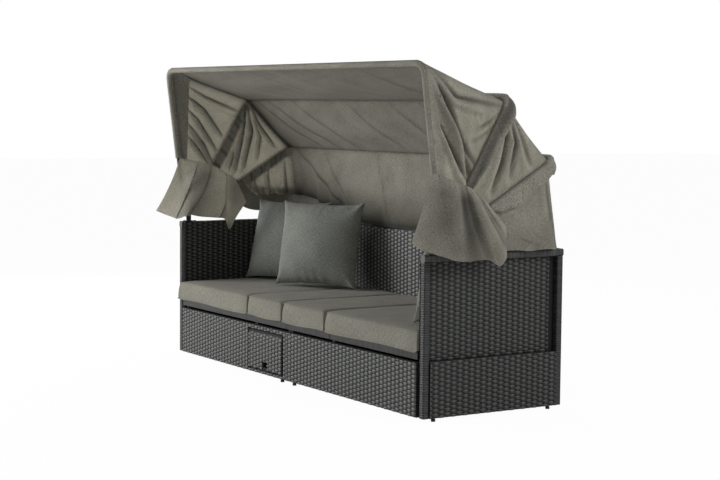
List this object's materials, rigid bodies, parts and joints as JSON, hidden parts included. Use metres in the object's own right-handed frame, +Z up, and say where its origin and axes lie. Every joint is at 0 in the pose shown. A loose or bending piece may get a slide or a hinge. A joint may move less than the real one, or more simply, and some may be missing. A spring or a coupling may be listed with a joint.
{
  "type": "outdoor daybed with canopy",
  "caption": "Woven outdoor daybed with lidded storage bases, a front flap, seat cushions, loose pillows and a fabric canopy on folding bows.",
  "frame": {"origin": "middle of the ground under the outline of the daybed, skirts included", "axes": "+X along the seat to its right-hand arm seen from the front, +Y from the front to the back, +Z up"},
  "size_m": [2.3776, 0.8056, 1.448],
  "materials": {
    "woven_strand": "flat woven strand, charcoal, satin",
    "zinc_steel": "bright zinc plate",
    "frame_aluminium": "mill finish",
    "foot_plastic": "matt black",
    "seat_fabric": "plain weave, warm grey",
    "pillow_fabric": "plain weave, cool grey",
    "coated_steel": "charcoal powder coat",
    "canopy_fabric": "plain weave, warm grey"
  },
  "bodies": {
    "daybed": {"left_arm_front_post": "woven_strand", "left_arm_rear_post": "woven_strand", "left_arm_top_rail": "woven_strand", "left_arm_apron": "woven_strand", "left_arm_panel": "woven_strand", "right_arm_front_post": "woven_strand", "right_arm_rear_post": "woven_strand", "right_arm_top_rail": "woven_strand", "right_arm_apron": "woven_strand", "right_arm_panel": "woven_strand", "left_back_panel": "woven_strand", "right_back_panel": "woven_strand", "left_front_panel": "woven_strand", "right_front_panel": "woven_strand", "flap_hinge_rod": "zinc_steel", "flap_stop": "frame_aluminium", "left_inner_wall": "frame_aluminium", "right_inner_wall": "frame_aluminium", "front_module_bolt": "zinc_steel", "rear_module_bolt": "zinc_steel", "left_middle_bearer": "frame_aluminium", "left_outer_bearer": "frame_aluminium", "right_middle_bearer": "frame_aluminium", "right_outer_bearer": "frame_aluminium", "left_outer_lid": "woven_strand", "left_inner_lid": "woven_strand", "right_inner_lid": "woven_strand", "right_outer_lid": "woven_strand", "left_front_outer_foot": "foot_plastic", "left_rear_outer_foot": "foot_plastic", "left_front_inner_foot": "foot_plastic", "left_rear_inner_foot": "foot_plastic", "right_front_outer_foot": "foot_plastic", "right_rear_outer_foot": "foot_plastic", "right_front_inner_foot": "foot_plastic", "right_rear_inner_foot": "foot_plastic", "left_outer_cushion": "seat_fabric", "left_inner_cushion": "seat_fabric", "right_inner_cushion": "seat_fabric", "right_outer_cushion": "seat_fabric", "left_rear_pillow": "pillow_fabric", "left_front_pillow": "pillow_fabric", "right_arm_pillow": "pillow_fabric", "left_pivot_bracket": "coated_steel", "right_pivot_bracket": "coated_steel", "left_pivot_bolt": "zinc_steel", "right_pivot_bolt": "zinc_steel", "rear_hem_batten": "coated_steel"},
    "flap": {"flap": "woven_strand"},
    "rear_bow": {"rear_bow": "coated_steel", "rear_sleeve": "canopy_fabric", "rear_canopy_panel": "canopy_fabric"},
    "middle_bow": {"middle_bow": "coated_steel", "middle_sleeve": "canopy_fabric", "middle_canopy_panel": "canopy_fabric"},
    "front_bow": {"front_bow": "coated_steel", "front_sleeve": "canopy_fabric", "front_canopy_panel": "canopy_fabric", "left_skirt": "canopy_fabric", "right_skirt": "canopy_fabric"}
  },
  "joints": [
    {"name": "flap_hinge", "type": "hinge", "parent": "daybed", "child": "flap", "pos_m": [0, -0.29124, 0.204], "axis": [-1, 0, 0], "range_deg": [0, 95]},
    {"name": "rear_bow_fold", "type": "hinge", "parent": "daybed", "child": "rear_bow", "pos_m": [0, -0.25223, 0.705], "axis": [-1, 0, 0], "range_deg": [0, 19.8], "deforming": ["rear_canopy_panel"]},
    {"name": "middle_bow_fold", "type": "hinge", "parent": "rear_bow", "child": "middle_bow", "pos_m": [0, -0.25223, 0.705], "axis": [-1, 0, 0], "range_deg": [0, 26.2], "deforming": ["middle_canopy_panel"]},
    {"name": "front_bow_fold", "type": "hinge", "parent": "middle_bow", "child": "front_bow", "pos_m": [0, -0.25223, 0.705], "axis": [-1, 0, 0], "range_deg": [0, 33.8], "deforming": ["front_canopy_panel", "left_skirt", "right_skirt"]}
  ],
  "couplings": [
    {"joint": "rear_bow_fold", "follows": "front_bow_fold", "ratio": 0.5856},
    {"joint": "middle_bow_fold", "follows": "front_bow_fold", "ratio": 0.7749}
  ]
}
